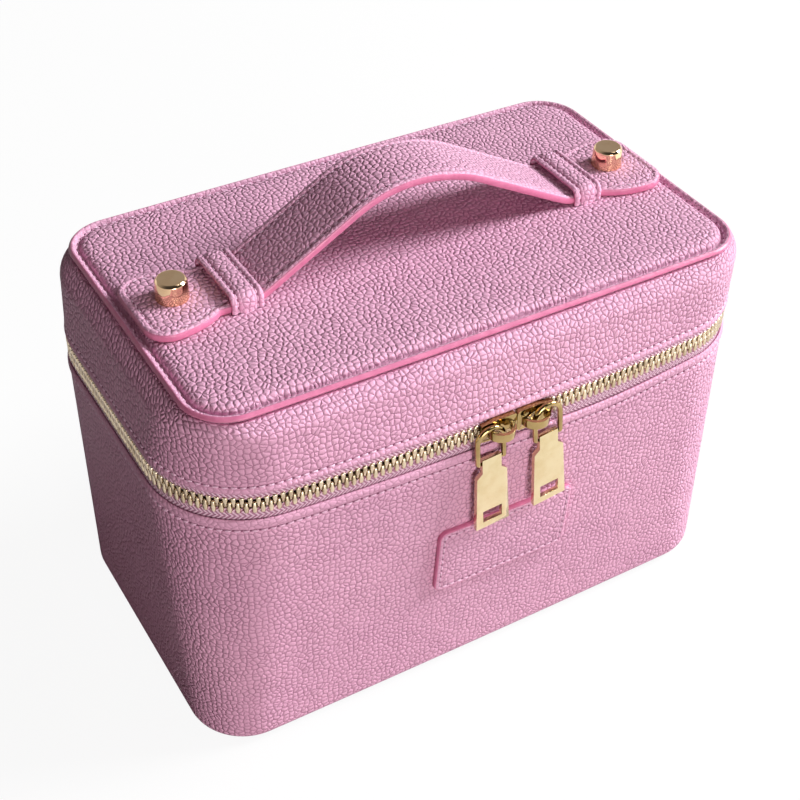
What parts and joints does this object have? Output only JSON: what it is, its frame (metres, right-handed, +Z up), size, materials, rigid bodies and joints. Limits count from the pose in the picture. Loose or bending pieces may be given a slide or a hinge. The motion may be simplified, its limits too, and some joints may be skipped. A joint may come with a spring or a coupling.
{
  "type": "makeup storage case with handle",
  "caption": "Soft zipped train case for make-up: leather-covered box with a padded hinged lid, metal zip with paired sliders and hanging pulls, and an arched strap handle on top.",
  "frame": {"origin": "middle of the underside, on the surface the case stands on", "axes": "+X across the width to the right seen from the front, +Y from the zip sliders at the front to the hinge at the back, +Z up"},
  "size_m": [0.2198, 0.1434, 0.1752],
  "materials": {
    "pebbled_leather": "pebble-grained coated leather, satin",
    "plain_leather": "fine-grained coated leather, satin",
    "panel_leather": "smooth coated leather, matt",
    "board": "grey-brown fibreboard",
    "lining_cloth": "woven polyester lining",
    "foam": "open-cell padding foam",
    "zip_tape": "herringbone woven zip tape",
    "pale_gold": "polished pale gold plate"
  },
  "bodies": {
    "case": {"body_cover": "pebbled_leather", "body_board": "board", "body_lining": "lining_cloth", "base_panel": "panel_leather", "base_board": "board", "base_lining": "lining_cloth", "front_patch": "plain_leather", "zip_tape_lower": "zip_tape", "zip_teeth_lower": "pale_gold", "zip_end_stops": "pale_gold", "hinge_strip": "pebbled_leather", "hinge_lining": "lining_cloth"},
    "lid": {"lid_side_cover": "pebbled_leather", "lid_side_board": "board", "lid_side_lining": "lining_cloth", "lid_top_cover": "pebbled_leather", "lid_top_foam": "foam", "lid_top_board": "board", "lid_top_lining": "lining_cloth", "zip_tape_upper": "zip_tape", "zip_teeth_upper": "pale_gold", "handle_strap": "pebbled_leather", "handle_lining": "plain_leather", "keeper_left": "pebbled_leather", "keeper_right": "pebbled_leather", "handle_studs": "pale_gold", "stud_screws": "pale_gold"},
    "slider_left": {"slider_left": "pale_gold"},
    "slider_right": {"slider_right": "pale_gold"},
    "bail_left": {"bail_left": "pale_gold"},
    "bail_right": {"bail_right": "pale_gold"},
    "pull_left": {"pull_left": "pale_gold"},
    "pull_right": {"pull_right": "pale_gold"}
  },
  "joints": [
    {"name": "lid_hinge", "type": "hinge", "parent": "case", "child": "lid", "pos_m": [0, 0.06855, 0.1138], "axis": [-1, 0, 0], "range_deg": [0, 105], "deforming": ["hinge_strip", "hinge_lining"]},
    {"name": "slider_left_run", "type": "hinge", "parent": "case", "child": "slider_left", "pos_m": [0, 0.83486, 0.1138], "axis": [0, 0, -1], "range_deg": [0, 3.6], "deforming": ["zip_teeth_lower", "zip_teeth_upper"]},
    {"name": "slider_right_run", "type": "hinge", "parent": "case", "child": "slider_right", "pos_m": [0, 0.83486, 0.1138], "axis": [0, 0, 1], "range_deg": [0, 3.4], "deforming": ["zip_teeth_lower", "zip_teeth_upper"]},
    {"name": "bail_left_swing", "type": "hinge", "parent": "slider_left", "child": "bail_left", "pos_m": [-0.00422, -0.07029, 0.1138], "axis": [-0.0785, 0.0004, 0.9969], "range_deg": [0, 90]},
    {"name": "bail_right_swing", "type": "hinge", "parent": "slider_right", "child": "bail_right", "pos_m": [0.00783, -0.07027, 0.1138], "axis": [0.1045, 0.001, -0.9945], "range_deg": [0, 90]},
    {"name": "pull_left_swing", "type": "hinge", "parent": "bail_left", "child": "pull_left", "pos_m": [-0.00826, -0.07027, 0.1027], "axis": [-0.9969, 0.0055, -0.0785], "range_deg": [0, 120]},
    {"name": "pull_right_swing", "type": "hinge", "parent": "bail_right", "child": "pull_right", "pos_m": [0.01383, -0.07021, 0.10362], "axis": [-0.9945, -0.0094, -0.1045], "range_deg": [0, 120]}
  ]
}
